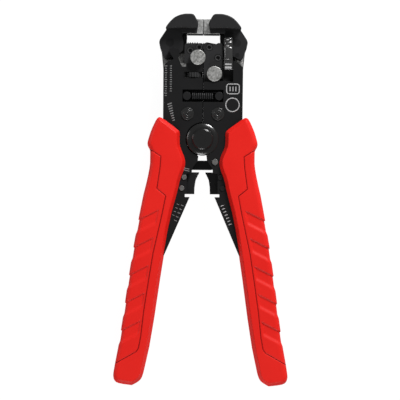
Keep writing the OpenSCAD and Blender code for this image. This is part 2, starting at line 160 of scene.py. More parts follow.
def corner_cut(path, times):
    """Every pass cuts each inner corner at a quarter of its two sides; ends stay."""
    path = np.asarray(path, float)
    for _ in range(times):
        first, second = path[:-1], path[1:]
        cut = np.stack([0.75 * first + 0.25 * second, 0.25 * first + 0.75 * second], 1)
        path = np.vstack([path[:1], cut.reshape(-1, 2)[1:-1], path[-1:]])
    return path


def evenly(path, count):
    """The path again, as count points at equal distances along it."""
    run = np.concatenate([[0], np.cumsum(np.linalg.norm(np.diff(path, axis=0), axis=1))])
    at = np.linspace(0, run[-1], count)
    return np.stack([np.interp(at, run, path[:, 0]), np.interp(at, run, path[:, 1])], 1)


def distance_to(path, x, y):
    """Distance from each point to the nearest of a path's straight pieces."""
    start = path[:-1]
    step = path[1:] - start
    best = np.full(x.shape, np.inf)
    for (sx, sy), (dx, dy) in zip(start, step):
        share = ((x - sx) * dx + (y - sy) * dy) / (dx * dx + dy * dy)
        share = np.clip(share, 0, 1)
        best = np.minimum(best, np.hypot(x - sx - share * dx, y - sy - share * dy))
    return best


def side_of(path, x, y):
    """The distance to the path again, below zero on the right of its nearest piece."""
    start = path[:-1]
    step = path[1:] - start
    best = np.full(x.shape, np.inf)
    sign = np.ones(x.shape)
    for (sx, sy), (dx, dy) in zip(start, step):
        share = ((x - sx) * dx + (y - sy) * dy) / (dx * dx + dy * dy)
        share = np.clip(share, 0, 1)
        far = np.hypot(x - sx - share * dx, y - sy - share * dy)
        turn = dx * (y - sy) - dy * (x - sx)
        sign = np.where(far < best, np.sign(turn), sign)
        best = np.minimum(best, far)
    return best * sign


def smooth_step(value, low, high):
    """0 below low, 1 above high, with an S curve between."""
    share = np.clip((value - low) / (high - low), 0, 1)
    return share * share * (3 - 2 * share)


def mesh_piece(name, points, faces, finish, fields=()):
    """A piece from points in millimetres, with its doubles merged. Each field is a name
    and a value for every point, kept on the mesh for its finish to read."""
    mesh = bpy.data.meshes.new(name)
    mesh.from_pydata(np.asarray(points, float) * MM, [], faces)
    for field, values in fields:
        mesh.attributes.new(field, "FLOAT", "POINT").data.foreach_set("value", values)
    work = bmesh.new()
    work.from_mesh(mesh)
    bmesh.ops.remove_doubles(work, verts=work.verts, dist=1e-7)
    bmesh.ops.dissolve_degenerate(work, dist=1e-8, edges=work.edges)
    bmesh.ops.recalc_face_normals(work, faces=work.faces)
    work.to_mesh(mesh)
    work.free()
    mesh.shade_smooth()
    mesh.materials.append(finish)
    piece = bpy.data.objects.new(name, mesh)
    bpy.context.scene.collection.objects.link(piece)
    return piece


def closed_grid(rows, loop):
    """Faces of a grid whose rows are closed loops of loop points each."""
    row = np.arange(rows - 1)[:, None] * loop
    now = np.arange(loop)[None, :]
    after = (now + 1) % loop
    corners = [row + now, row + after, row + loop + after, row + loop + now]
    return np.stack(corners, -1).reshape(-1, 4)


# Outline of the right grip, from its top corner down each side to its end
GRIP_OUTER = [
    (24.0, 12.0), (25.4, 11.2), (28.3, 5.0), (29.9, -0.2), (30.3, -1.8), (30.35, -3.1),
    (29.9, -4.6), (29.1, -5.8), (28.8, -6.8), (28.8, -10.0), (28.8, -14.5), (30.3, -22.6),
    (33.0, -33.6), (38.8, -66.6), (44.6, -110.6), (47.9, -128.2), (48.1, -131.6),
    (47.0, -134.0), (44.4, -135.1), (37.6, -135.9),
]
GRIP_INNER = [
    (24.0, 12.0), (22.4, 11.6), (13.4, 5.0), (12.5, 3.6), (12.4, -2.6), (12.0, -4.6),
    (9.8, -9.6), (9.1, -12.6), (9.6, -16.2), (12.1, -22.6), (13.2, -28.1), (17.6, -44.6),
    (21.3, -66.6), (27.5, -110.6), (31.4, -128.9), (32.2, -131.6), (33.7, -133.7),
    (37.6, -135.9),
]
# Parting groove, outboard to inboard and down to the end of the grip
GRIP_GROOVE = [
    (31.0, -5.4), (28.6, -6.0), (22.9, -9.7), (23.3, -16.0), (24.9, -27.4), (20.0, -31.4),
    (21.9, -41.3), (26.7, -63.1), (29.6, -81.7), (31.6, -95.4), (33.1, -109.2),
    (34.3, -115.6), (35.6, -117.4), (46.0, -123.3), (47.6, -124.2),
]
GRIP_HALF = 10.0
GRIP_ROWS = 520
GRIP_COLUMNS = 66
# The side wall's points: a share of the half thickness, plus a height of their own
WALL_SHARES = np.array([0.8, 0.5, 0, 0, 0, 0, 0, 0, -0.5, -0.8])
WALL_HEIGHTS = np.array([0, 0, 1.85, 1.5, 0.5, -0.5, -1.5, -1.85, 0, 0])
WALL_ROWS = len(WALL_SHARES)
BAND_SLOT = 4.2
BAND_SLOT_TOP = (5.5, 7.0)
BAND_SLOT_FOOT = (18.0, 19.5)
BAND_SLOT_HALF = 1.6
OUTER_ROUND = 2.7
INNER_BEVEL = 1.9
BEVEL_SLOPE = 0.95
SHOULDER_SLOPE = 0.9
CROWN = 0.3
GROOVE_DEPTH = 0.25
GROOVE_WIDTH = 0.33
AWAY_FROM_GROOVE = 9.0
RECESS_COUNT = 5
RECESS_FIRST = -44.6
RECESS_PITCH = 15.25
RECESS_HEIGHT = 7.7
RECESS_RISE = 0.56
RECESS_REACH = 9.8
RECESS_DEPTH = 0.62
RECESS_LIP = 0.35
RECESS_FADE = (2.2, 1.0)
RECESS_SIDE = 0.5
RECESS_PULL = 0.55
PULL_REACH = 1.6


def recess_mask(y, inboard):
    """1 inside the five slanted recesses, which rise inboard, and 0 elsewhere."""
    level = RECESS_FIRST - (y - RECESS_RISE * inboard)
    index = np.floor(level / RECESS_PITCH)
    down = level - index * RECESS_PITCH
    before, after = RECESS_FADE
    soft_end = 1 - smooth_step(down, RECESS_HEIGHT - before, RECESS_HEIGHT + after)
    stripe = smooth_step(down, 0, RECESS_LIP) * soft_end
    counted = (index >= 0) & (index < RECESS_COUNT)
    side_end = smooth_step(inboard, RECESS_REACH - RECESS_SIDE, RECESS_REACH + RECESS_SIDE)
    return stripe * counted * (1 - side_end)


def grip(name, side, finish):
    """Stations join the two edges at equal shares of their length. Across each station
    the face stands at its half thickness, less a round at the outer edge, a flat bevel
    at the inner edge, the groove and the recesses; the back mirrors the front. The left
    grip's inner wall steps in at mid height to make the slot that the latch enters."""
    outer_path = corner_cut(GRIP_OUTER, 1)
    inner_path = corner_cut(GRIP_INNER, 1)
    outer = evenly(outer_path, GRIP_ROWS)[:, None, :]
    inner = evenly(inner_path, GRIP_ROWS)[:, None, :]
    across = 0.5 - 0.5 * np.cos(np.linspace(0, np.pi, GRIP_COLUMNS))
    across = 0.35 * across + 0.65 * np.linspace(0, 1, GRIP_COLUMNS)
    face = outer + (inner - outer) * across[None, :, None]
    x, y = face[..., 0], face[..., 1]
    from_outer = distance_to(outer_path, x, y)
    from_inner = distance_to(inner_path, x, y)
    near = np.clip(OUTER_ROUND - from_outer, 0, OUTER_ROUND)
    round_drop = OUTER_ROUND - np.sqrt(OUTER_ROUND ** 2 - near ** 2)
    steep = BEVEL_SLOPE + SHOULDER_SLOPE * smooth_step(-y, -5.0, -1.0)
    bevel_drop = np.clip(INNER_BEVEL - from_inner, 0, INNER_BEVEL) * steep
    crown = CROWN * (1 - np.sin(np.pi * np.clip(across, 0, 1)))[None, :]
    recess = recess_mask(y, from_outer)
    groove = side_of(np.array(GRIP_GROOVE), x, y)
    cut = RECESS_DEPTH * recess + GROOVE_DEPTH * np.exp(-((groove / GROOVE_WIDTH) ** 2))
    half = GRIP_HALF - np.maximum(round_drop, bevel_drop) - crown - cut
    x = x - RECESS_PULL * recess * np.exp(-from_outer / PULL_REACH)
    slot_depth = BAND_SLOT * (side < 0) * smooth_step(-y[:, -1:], *BAND_SLOT_TOP)
    slot_depth = slot_depth * (1 - smooth_step(-y[:, -1:], *BAND_SLOT_FOOT))
    in_slot = ((WALL_SHARES == 0) & (np.abs(WALL_HEIGHTS) < BAND_SLOT_HALF))[None, :]
    inner_heights = half[:, -1:] * WALL_SHARES + WALL_HEIGHTS
    outer_heights = -(half[:, :1] * WALL_SHARES + WALL_HEIGHTS)
    front = np.stack([x, y, half], -1)
    back = np.stack([x, y, -half], -1)[:, ::-1]
    inner_wall = np.stack([
        x[:, -1:] + slot_depth * in_slot,
        np.repeat(y[:, -1:], WALL_ROWS, 1),
        inner_heights
    ], -1)
    outer_wall = np.stack([
        np.repeat(x[:, :1], WALL_ROWS, 1),
        np.repeat(y[:, :1], WALL_ROWS, 1),
        outer_heights
    ], -1)
    rings = np.concatenate([front, inner_wall, back, outer_wall], 1)
    rings[..., 0] *= side
    rings[..., 2] += GRIP_HALF
    walls = np.full((GRIP_ROWS, WALL_ROWS), AWAY_FROM_GROOVE)
    far = np.concatenate([groove, walls, groove[:, ::-1], walls], 1)
    far = far.ravel().astype(np.float32)
    faces = closed_grid(GRIP_ROWS, rings.shape[1])
    points = rings.reshape(-1, 3)
    return mesh_piece(name, points, faces.tolist(), finish, fields=[("groove", far)])


red = red_elastomer()
for side, hand in ((-1, "left"), (1, "right")):
    sleeve = grip(f"{hand}_moulded_grip", side, red)
    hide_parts(f"{hand}_grip")
    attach(sleeve, f"{hand}_half")


# ---------------------------------------------------------------- side plates
# Four stamped steel plates, blacked in a satin coat. The stamping leaves their edges
# slightly rounded, and the coat has a fine orange-peel grain.

PEEL_DEPTH = 0.00002


def coated_steel(name, dark, light, gloss):
    """Black coat: fine peel, faint clouds in its colour and uneven gloss."""
    finish, tree, place = new_finish(name)
    peel = noise(tree, place, 2600.0, 3.0, 0.65)
    cloud = noise(tree, place, 60.0, 4.0, 0.6)
    speck = noise(tree, place, 900.0, 2.0, 0.5)
    colour = between(tree, 0.6 * cloud + 0.4 * speck, dark, light)
    changing = {"Base Color": colour, "Roughness": gloss + 0.12 * cloud + 0.08 * peel}
    shade(tree, {"Specular IOR Level": 0.2}, changing, peel, PEEL_DEPTH)
    return finish


FLAT_ANGLE = math.radians(0.5)
SHARP_ANGLE = math.radians(35)
FLAT_FACE_WEIGHT = 100


def round_edges(node, width, finish, segments=3):
    """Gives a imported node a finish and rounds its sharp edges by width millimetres."""
    piece = nodes[node]
    piece.data.materials.clear()
    piece.data.materials.append(finish)
    weld = piece.modifiers.new("weld", "WELD")
    weld.merge_threshold = 1e-6
    flat = piece.modifiers.new("flat", "DECIMATE")
    flat.decimate_type = "DISSOLVE"
    flat.angle_limit = FLAT_ANGLE
    bevel = piece.modifiers.new("bevel", "BEVEL")
    bevel.width = width * MM
    bevel.segments = segments
    bevel.limit_method = "ANGLE"
    bevel.angle_limit = SHARP_ANGLE
    piece.modifiers.new("normals", "WEIGHTED_NORMAL").weight = FLAT_FACE_WEIGHT
    piece.data.shade_smooth()
    return piece


plate_coat = coated_steel("plate_coat", (0.006, 0.006, 0.0065), (0.012, 0.012, 0.0125), 0.4)
for hand in ("left", "right"):
    round_edges(f"{hand}_front_plate", 0.22, plate_coat)
    round_edges(f"{hand}_back_plate", 0.22, plate_coat)


# ---------------------------------------------------------------- cores and pads
# The cores and the upper jaw pads are steel, bead-blasted to a pale grey. The cores are
# drawn near-black, but for their outer edges and the step beside the gripping jaw: painted
# shade, for the shadow in their slots and pockets and between the plates.


def blasted_wires(tree, place, dark, light, gloss):
    """Colour and gloss of bare metal peppered by blasting: pits, and a coarser mottle."""
    pits = noise(tree, place, 2400.0, 4.0, 0.7)
    mottle = noise(tree, place, 760.0, 5.0, 0.75)
    clear = ramp(tree, mottle, 0.36, 0.62)
    return between(tree, clear, dark, light), gloss + 0.25 * pits, pits


def blasted_steel(name, dark, light, gloss):
    """Bare blasted metal all over."""
    finish, tree, place = new_finish(name)
    colour, rough, pits = blasted_wires(tree, place, dark, light, gloss)
    shade(tree, {"Metallic": 0.7}, {"Base Color": colour, "Roughness": rough}, pits, 0.00006)
    return finish


SOFT_STEP = 0.0001
BARE_EDGE_SIDE, BARE_EDGE_FROM = 17.2, 33.0
BARE_STEP_SIDE, BARE_STEP_FROM, BARE_STEP_TO = 9.5, 40.1, 47.4


def above(tree, value, edge):
    """1 where value is more than edge, over a soft step of a fifth of a millimetre."""
    return ramp(tree, value, edge - SOFT_STEP, edge + SOFT_STEP)


def plan_wires(tree, place):
    """Two wires: how far right of the seam, and how far from the pivot to the head."""
    x = add_node(tree, "ShaderNodeSeparateXYZ", {}, {0: place})
    return x, Wire(tree, x.socket.node.outputs[1])


def core_finish():
    """Blasted steel at the outer edges and the step beside the gripping jaw, and near-black
    painted shade elsewhere.
    """
    finish, tree, place = new_finish("core_steel")
    colour, rough, pits = blasted_wires(tree, place, (0.2, 0.2, 0.195), (0.46, 0.46, 0.45), 0.34)
    x, y = plan_wires(tree, place)
    width = add_node(tree, "ShaderNodeMath", {"operation": "ABSOLUTE"}, {0: x})
    head_edge = above(tree, width, BARE_EDGE_SIDE * MM) * above(tree, y, BARE_EDGE_FROM * MM)
    beside = above(tree, 0.0 - x, BARE_STEP_SIDE * MM)
    level = above(tree, y, BARE_STEP_FROM * MM) * above(tree, 0.0 - y, -BARE_STEP_TO * MM)
    step = beside * level
    bare = add_node(tree, "ShaderNodeMath", {"operation": "MAXIMUM"}, {0: head_edge, 1: step})
    # Near-black painted shade, for the shadow in the slots, the pockets and between the plates.
    painted_shade = between(tree, pits, (0.006, 0.006, 0.0065), (0.013, 0.013, 0.0135))
    mix = {0: bare, 6: painted_shade, 7: colour}
    surface = add_node(tree, "ShaderNodeMix", {"data_type": "RGBA"}, mix, 2)
    changing = {"Base Color": surface, "Roughness": rough, "Metallic": 0.7 * bare}
    shade(tree, {"Specular IOR Level": 0.3}, changing, pits, 0.00006)
    return finish


core_steel = core_finish()
for core in ("left_core", "right_core"):
    round_edges(core, 0.15, core_steel, 2)
pad_steel = blasted_steel("pad_steel", (0.34, 0.34, 0.335), (0.75, 0.75, 0.74), 0.36)
for pad in ("left_jaw_pad", "right_jaw_pad"):
    round_edges(pad, 0.2, pad_steel, 2)


# ---------------------------------------------------------------- lower jaws
# The gripping jaw has sharp teeth, the stripping jaw a smooth lip. Both are hardened
# steel with a dark grey phosphate coat, held by black socket screws.

jaw_coat = coated_steel("jaw_coat", (0.016, 0.016, 0.0165), (0.03, 0.03, 0.031), 0.42)
for block in ("gripping_jaw", "stripping_jaw"):
    round_edges(block, 0.14, jaw_coat, 2)

SOCKET_RADIUS = 1.12
RIM_RADIUS = 1.66


def screws_with_painted_shade(name, centres):
    """Blacked screws: the head face between socket and rim is dark grey; the socket and the ring
    beyond the rim are near-black painted shade.
    """
    finish, tree, place = new_finish(name)
    peel = noise(tree, place, 2600.0, 3.0, 0.65)
    x, y = plan_wires(tree, place)
    near = 1.0
    for across, up in centres:
        dx, dy = x - across * MM, y - up * MM
        far = add_node(tree, "ShaderNodeMath", {"operation": "SQRT"}, {0: dx * dx + dy * dy})
        near = add_node(tree, "ShaderNodeMath", {"operation": "MINIMUM"}, {0: near, 1: far})
    head = above(tree, near, SOCKET_RADIUS * MM) * (1.0 - above(tree, near, RIM_RADIUS * MM))
    # Near-black in each socket and round each head is painted shade.
    colour = between(tree, head, (0.003, 0.003, 0.003), (0.05, 0.05, 0.051))
    changing = {"Base Color": colour, "Roughness": 0.24 + 0.12 * peel}
    shade(tree, {"Specular IOR Level": 0.5}, changing, peel, 0.00003)
    return finish


gripping_finish = screws_with_painted_shade("gripping_screws", [(-7.2, 49.0), (-2.3, 50.9)])
stripping_finish = screws_with_painted_shade("stripping_screws", [(3.3, 50.9), (8.1, 45.1)])
round_edges("gripping_jaw_screws", 0.12, gripping_finish, 2)
round_edges("stripping_jaw_screws", 0.12, stripping_finish, 2)

disc_steel = blasted_steel("disc_steel", (0.24, 0.24, 0.23), (0.7, 0.7, 0.68), 0.3)
for disc in ("gripping_jaw_disc", "stripping_jaw_disc"):
    round_edges(disc, 0.35, disc_steel)


# ---------------------------------------------------------------- upper jaws
# Each upper jaw is one forging: a heavy beak with planed bevels, a brow behind it that
# holds the pad, and two cheeks that straddle the core's tongue.


def inset(outline, amount):
    """The outline moved inwards: each corner goes to where its two moved sides meet."""
    here = np.asarray(outline, float)
    ahead = np.roll(here, -1, 0) - here
    ahead /= np.linalg.norm(ahead, axis=1)[:, None]
    behind = np.roll(ahead, 1, 0)
    inward = np.stack([-ahead[:, 1], ahead[:, 0]], 1)
    inward_behind = np.stack([-behind[:, 1], behind[:, 0]], 1)
    both = inward + inward_behind
    both /= (both * inward).sum(1)[:, None]
    after = np.roll(here, -1, 0)
    area = 0.5 * np.sum(here[:, 0] * after[:, 1] - after[:, 0] * here[:, 1])
    return here + amount * np.sign(area) * both


def eased(outline, amount, steps=4):
    """Each corner becomes a curve that leaves its sides at most amount away from it:
    the square blend of the two leaving points and the corner."""
    here = np.asarray(outline, float)
    before = np.roll(here, 1, 0) - here
    after = np.roll(here, -1, 0) - here
    reach_before = np.minimum(amount / np.linalg.norm(before, axis=1), 0.48)[:, None]
    reach_after = np.minimum(amount / np.linalg.norm(after, axis=1), 0.48)[:, None]
    share = np.linspace(0, 1, steps + 1)[None, :, None]
    first = (here + before * reach_before)[:, None]
    last = (here + after * reach_after)[:, None]
    curve = (1 - share) ** 2 * first + 2 * share * (1 - share) * here[:, None] + share ** 2 * last
    return curve.reshape(-1, 2)


def rounded_slab(outline, ease, low, high, bevel, steps=4):
    """A rim carried round the outline, its corners eased, whose top and bottom edges are
    quarter circles of radius bevel, closed by a face at each end."""
    bow = np.linspace(0, np.pi / 2, steps + 1)
    inwards = bevel * (1 - np.sin(bow))
    rise = bevel * (1 - np.cos(bow))
    amounts = np.concatenate([inwards, inwards[::-1]])
    heights = np.concatenate([low + rise, high - rise[::-1]])
    rings = []
    for amount, height in zip(amounts, heights):
        ring = eased(inset(outline, amount), max(ease - 0.6 * amount, 0.05))
        rings.append(np.column_stack([ring, np.full(len(ring), height)]))
    count = len(rings[0])
    faces = closed_grid(len(rings), count).tolist()
    faces.append(list(range(count)))
    faces.append(list(range((len(rings) - 1) * count, len(rings) * count)))
    return np.vstack(rings), faces


def joined(parts):
    """Several sets of points and faces as one."""
    points = []
    faces = []
    start = 0
    for part_points, part_faces in parts:
        points.append(part_points)
        faces.extend([[index + start for index in face] for face in part_faces])
        start += len(part_points)
    return np.vstack(points), faces


def mirrored(part, side):
    """The same points on the left side when side is -1."""
    points, faces = part
    return points * np.array([side, 1, 1]), faces


def solid_piece(name, part, finish):
    """A piece with flat faces that stay flat in the light and edges that turn softly."""
    piece = mesh_piece(name, *part, finish)
    piece.modifiers.new("normals", "WEIGHTED_NORMAL").weight = FLAT_FACE_WEIGHT
    return piece


BEAK = [
    (21.0, 60.7), (20.6, 62.0), (18.6, 64.6), (16.2, 66.9), (13.4, 68.3), (10.4, 69.0),
    (6.2, 69.0), (5.0, 68.2), (2.8, 64.0), (3.2, 61.6), (4.2, 60.9), (12.0, 61.2),
]
BROW = [(3.1, 62.0), (3.7, 58.5), (11.8, 58.5), (12.4, 62.0)]
CHEEK = [
    (9.0, 65.0), (17.0, 64.0), (20.0, 61.3), (24.2, 54.9), (24.5, 53.4), (23.8, 50.0),
    (21.6, 44.6), (19.6, 44.0), (17.5, 45.4), (12.5, 47.8), (11.0, 49.5), (11.0, 54.0),
    (11.8, 57.2), (11.4, 58.5), (9.0, 58.5),
]
LIP = [(0.3, 58.6), (0.3, 57.75), (9.0, 57.75), (9.0, 58.6)]
# Outline, ease of its corners, lowest and highest z, and round of its rims
JAW_SLABS = [
    (BEAK, 1.2, 0, 20, 0.7),
    (BROW, 0.3, 3.6, 8.6, 0.3),
    (BROW, 0.3, 11.4, 16.4, 0.3),
    (CHEEK, 0.8, 6.02, 8.6, 0.25),
    (CHEEK, 0.8, 11.4, 13.98, 0.25),
    (LIP, 0.2, 6.2, 13.8, 0.2),
]
jaw_forging = coated_steel("jaw_forging", (0.015, 0.015, 0.016), (0.026, 0.026, 0.027), 0.38)
for side, hand in ((-1, "left"), (1, "right")):
    forging = joined([mirrored(rounded_slab(*slab), side) for slab in JAW_SLABS])
    jaw = solid_piece(f"{hand}_jaw_forging", forging, jaw_forging)
    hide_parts(f"{hand}_upper_jaw")
    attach(jaw, f"{hand}_jaw")


# ---------------------------------------------------------------- fillers
# Near-black shims close the seam between the halves, the seam between the pads and the
# wheel's pocket, and a near-black web beside the window and a pale apron behind each jaw's
# tail close the cores. The near-black pieces are painted shade: dark sheets standing where
# the gaps show only shadow.

WINDOW_SIDE = [(9.1, 58.45), (9.1, 55.0), (12.6, 55.0), (12.6, 58.45)]
APRON = [(15.6, 49.0), (15.6, 39.0), (22.0, 39.0), (22.3, 41.5), (22.4, 48.5), (20.0, 50.0)]
SEAM = [(0.0, 32.6), (0.0, 9.5), (0.14, 9.5), (0.14, 32.6)]
SEAM_FOOT = [(-0.14, 9.5), (-0.14, 8.86), (0.13, 8.86), (0.13, 9.5)]
BLOCK_SEAM = [(0.0, 53.3), (0.0, 32.4), (0.24, 32.4), (0.24, 53.3)]
PAD_SEAM = [(0.0, 66.2), (0.0, 57.8), (0.14, 57.8), (0.14, 66.2)]
POCKET = [
    (-0.2, 34.12), (-0.2, 34.38), (-9.7, 34.38), (-9.7, 37.02), (-6.75, 37.02),
    (-6.75, 37.28), (-10.43, 37.28), (-10.43, 34.12),
]
POCKET_END = [(-3.55, 37.28), (-3.55, 37.02), (-0.2, 37.02), (-0.2, 37.28)]
# Near-black coat of the fillers: painted shade, for the shadow in the gaps they close.
painted_shade_coat = coated_steel("painted_shade_coat", (0.004, 0.004, 0.004), (0.007, 0.007, 0.007), 0.5)
lining = joined([
    rounded_slab(POCKET, 0.02, 12.2, 13.6, 0.03, 1),
    rounded_slab(POCKET_END, 0.02, 12.2, 13.6, 0.03, 1),
    rounded_slab(SEAM_FOOT, 0.02, 6.2, 13.9, 0.03, 1),
])
pocket_lining = solid_piece("wheel_pocket_shade_lining", lining, painted_shade_coat)
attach(pocket_lining, "left_half")
for side, hand in ((-1, "left"), (1, "right")):
    web = solid_piece(
        f"{hand}_window_shade_web", mirrored(rounded_slab(WINDOW_SIDE, 0.3, 9.0, 11.0, 0.15, 2), side),
        painted_shade_coat
    )
    apron = solid_piece(
        f"{hand}_core_apron", mirrored(rounded_slab(APRON, 0.5, 4.4, 5.7, 0.15, 2), side),
        pad_steel
    )
    seam = joined([
        mirrored(rounded_slab(SEAM, 0.02, 6.2, 10.2, 0.03, 1), side),
        mirrored(rounded_slab(BLOCK_SEAM, 0.02, 6.2, 13.6, 0.03, 1), side)
    ])
    shim = solid_piece(f"{hand}_seam_shade_shim", seam, painted_shade_coat)
    for filler in (web, apron, shim):
        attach(filler, f"{hand}_half")
    pad_shade_shim = solid_piece(
        f"{hand}_pad_shade_shim", mirrored(rounded_slab(PAD_SEAM, 0.02, 5.6, 14.4, 0.03, 1), side),
        painted_shade_coat
    )
    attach(pad_shade_shim, f"{hand}_jaw")


# ---------------------------------------------------------------- pins, rivets, pivot
# Turned pins and rivets, blacked in oil; the rivets of the left cutter and of the latch are
# left bare.
RUB_DEPTH = 0.00002


def polished_black(name, tone, gloss):
    """Polished and blacked steel: dark metal with sharp lights and faint rub marks."""
    finish, tree, place = new_finish(name)
    rub = noise(tree, place, 1500.0, 4.0, 0.7)
    colour = between(tree, rub, (0.8 * tone,) * 3, (1.2 * tone,) * 3)
    changing = {"Base Color": colour, "Roughness": gloss + 0.1 * rub}
    shade(tree, {"Metallic": 0.85}, changing, rub, RUB_DEPTH)
    return finish


pin_oxide = coated_steel("pin_oxide", (0.01, 0.01, 0.0105), (0.018, 0.018, 0.019), 0.32)
rivet_black = polished_black("rivet_black", 0.09, 0.22)
pivot_black = polished_black("pivot_black", 0.07, 0.15)
bright_rivet = blasted_steel("bright_rivet", (0.14, 0.14, 0.137), (0.32, 0.32, 0.31), 0.28)
for hand in ("left", "right"):
    for pin in ("spring_pin", "jaw_pin", "tail_pin", "push_lever"):
        round_edges(f"{hand}_{pin}", 0.2, pin_oxide, 2)
    round_edges(f"{hand}_lever_rivet", 0.3, rivet_black)
round_edges("left_cutter_rivets", 0.15, bright_rivet, 2)
round_edges("right_cutter_rivets", 0.15, pin_oxide, 2)
round_edges("latch_rivet", 0.18, bright_rivet, 2)
round_edges("pivot_pin", 0.3, pivot_black)
round_edges("pivot_back_washer", 0.5, pivot_black)


def turned(profile, sides=128):
    """A profile of (radius, height) points turned about the pivot's axis."""
    profile = np.asarray(profile, float)
    angle = np.linspace(0, 2 * np.pi, sides, endpoint=False)
    x = profile[:, :1] * np.cos(angle)
    y = profile[:, :1] * np.sin(angle)
    z = np.repeat(profile[:, 1:], sides, 1)
    points = np.stack([x, y, z], -1).reshape(-1, 3)
    faces = closed_grid(len(profile), sides).tolist()
    wrap = (len(profile) - 1) * sides
    if profile[0, 0] > 0 and profile[-1, 0] > 0:
        around = np.arange(sides)
        after = (around + 1) % sides
        faces += np.stack([wrap + around, wrap + after, after, around], -1).tolist()
    return points, faces


WASHER = corner_cut([
    (5.0, 16.62), (8.7, 16.62), (8.78, 16.75), (8.72, 16.95), (7.9, 17.35), (6.7, 17.74),
    (6.1, 17.79), (5.0, 17.79),
], 2)
CAP = corner_cut([
    (0.0, 17.85), (5.9, 17.85), (5.95, 18.2), (5.7, 18.65), (5.45, 18.75), (5.4, 19.1),
    (5.2, 19.4), (4.9, 19.44), (4.5, 19.36), (0.0, 19.36),
], 2)
washer = solid_piece("pivot_dished_washer", turned(WASHER), pivot_black)
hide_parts("pivot_front_washer")
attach(washer, "right_half")
cap = solid_piece("pivot_cap_ring", turned(CAP), pivot_black)
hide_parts("pivot_retaining_ring")
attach(cap, "right_half")

# A near-black ledge round the lower left of the pivot washer: painted shade, a dark sheet in the
# gap beside the boss.
FLANGE_INNER, FLANGE_OUTER = 8.84, 9.9
arc = np.radians(np.linspace(188, 253, 24))
FLANGE = np.vstack([
    FLANGE_INNER * np.column_stack([np.cos(arc), np.sin(arc)]),
    FLANGE_OUTER * np.column_stack([np.cos(arc[::-1]), np.sin(arc[::-1])])
])
ledge = rounded_slab(FLANGE, 0.02, 13.2, 14.15, 0.02, 1)
flange = solid_piece("pivot_shade_flange", ledge, painted_shade_coat)
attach(flange, "left_half")


# ---------------------------------------------------------------- cutters and latch
# Tool steel blades with ground edges, and the stamped latch band between the handles.

blade_steel = coated_steel("blade_steel", (0.01, 0.01, 0.0105), (0.018, 0.018, 0.019), 0.34)
for hand in ("left", "right"):
    round_edges(f"{hand}_cutter_blade", 0.15, blade_steel, 2)
BLADE_ROOT = [(1.95, -19.4), (1.7, -18.2), (6.0, -18.2), (8.4, -18.6), (8.4, -19.4)]
for side, hand, low in ((-1, "left", 10.2), (1, "right", 7.45)):
    step = mirrored(rounded_slab(BLADE_ROOT, 0.15, low, low + 2.35, 0.12, 2), side)
    root = solid_piece(f"{hand}_blade_root", step, blade_steel)
    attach(root, f"{hand}_half")
BAND = [
    (7.0, -9.9), (2.5, -11.7), (-2.5, -11.7), (-6.2, -12.0), (-6.8, -12.7), (-6.8, -16.1),
    (-6.1, -16.9), (5.2, -16.9), (5.7, -16.3), (8.0, -14.9), (9.3, -13.6), (9.55, -12.2),
    (9.0, -10.9), (8.1, -10.1),
]
latch = solid_piece("latch_bridge", rounded_slab(BAND, 0.5, 8.9, 11.1, 0.25, 3), plate_coat)
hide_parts("latch_band")
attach(latch, "latch")


# ---------------------------------------------------------------- adjusters
# Knurled thumbwheel under the gripping jaw, and the selector slide with its ribs.

wheel_coat = coated_steel("wheel_coat", (0.035, 0.035, 0.036), (0.06, 0.06, 0.061), 0.26)
round_edges("tension_thumbwheel", 0.1, wheel_coat, 2)

SLIDE_COLUMNS = 17
ARC_SHARE = 0.96
ARC_FALL = 0.28


def along(path, first, last, base):
    """A height profile carried from first to last across the slide: the profile's points
    give a place along the slide and a height, and the sides fall off in an arc."""
    across = np.linspace(-1, 1, SLIDE_COLUMNS)
    fall = 1 - np.sqrt(1 - (ARC_SHARE * across) ** 2)
    arch = ARC_FALL * fall / (1 - np.sqrt(1 - ARC_SHARE ** 2))
    middle, reach = 0.5 * (first + last), 0.5 * (last - first)
    x = middle + reach * across
    y, top = path[:, 0], path[:, 1]
    z = base + (top[:, None] - base) * (1 - arch[None, :])
    columns = np.repeat(y[:, None], SLIDE_COLUMNS, 1)
    grid = np.stack([np.broadcast_to(x, z.shape), columns, z], -1)
    low = grid.copy()[:, ::-1]
    low[..., 2] = base
    rings = np.concatenate([grid, low], 1)
    faces = closed_grid(len(path), rings.shape[1]).tolist()
    count = rings.shape[1]
    faces.append(list(range(count)))
    faces.append(list(range((len(path) - 1) * count, len(path) * count)))
    return rings.reshape(-1, 3), faces


SLIDE_PROFILE = [
    (43.9, 16.2), (44.0, 16.8), (44.6, 17.05), (50.4, 17.05), (50.9, 16.75), (51.3, 16.75),
    (51.7, 17.3), (52.3, 17.48), (53.4, 17.48), (54.0, 17.2), (54.3, 16.7), (54.7, 16.7),
    (55.0, 17.1), (55.5, 17.3), (56.0, 17.1), (56.25, 16.5),
]
SLIDE_FOOT = [(11.4, 56.2), (11.4, 38.5), (16.2, 38.5), (16.2, 56.2)]
SLIDE_HEEL = [(11.35, 42.8), (11.35, 38.5), (17.35, 38.5), (17.35, 42.8)]
slide_coat = polished_black("slide_coat", 0.16, 0.18)
knob = along(corner_cut(SLIDE_PROFILE, 2), 11.45, 16.15, 14.4)
foot = rounded_slab(SLIDE_FOOT, 0.4, 14.36, 16.38, 0.2, 2)
heel = rounded_slab(SLIDE_HEEL, 0.3, 12.62, 14.08, 0.15, 2)
slide = solid_piece("slide_with_thumb_rest", joined([knob, foot, heel]), slide_coat)
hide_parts("selector_slide")
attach(slide, "selector")


# ---------------------------------------------------------------- printed marks
# Pale ink pads printed on the coated plates: plain scale ticks, guide bars, a rounded
# frame and a ring. They say nothing.


